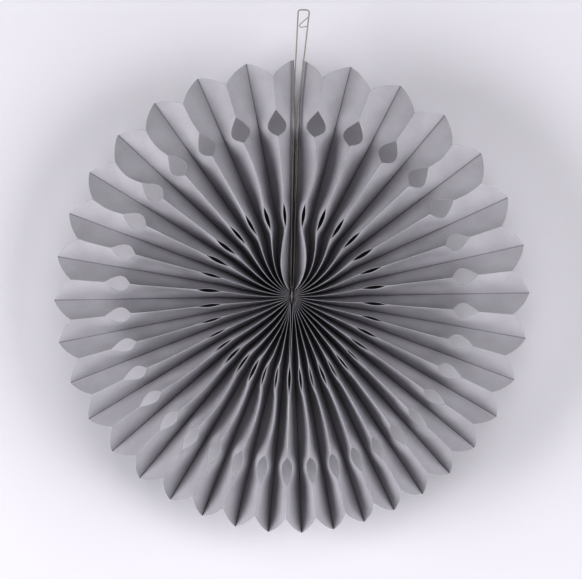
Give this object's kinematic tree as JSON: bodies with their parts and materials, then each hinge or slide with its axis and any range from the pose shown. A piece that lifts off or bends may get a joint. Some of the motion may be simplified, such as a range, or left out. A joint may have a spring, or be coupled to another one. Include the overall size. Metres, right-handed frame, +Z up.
{
  "type": "paper fan rosette",
  "caption": "Round pleated paper fan with a petal rim, leaf holes and slits along its ridges, tied at the waist and hung from a thread loop.",
  "frame": {"origin": "middle of the rosette, halfway through its depth", "axes": "+Z up towards the hanging loop, -Y towards the viewer, +Y towards the wall"},
  "size_m": [0.2998, 0.022, 0.331],
  "materials": {
    "paper": "matte",
    "tape": "matte",
    "thread": "matte"
  },
  "bodies": {
    "root": {"pleated_paper": "paper", "top_seam_strip": "tape", "bottom_seam_strip": "tape", "waist_tie": "thread", "waist_knot": "thread", "hanging_thread": "thread", "loop_knot": "thread"}
  },
  "joints": []
}
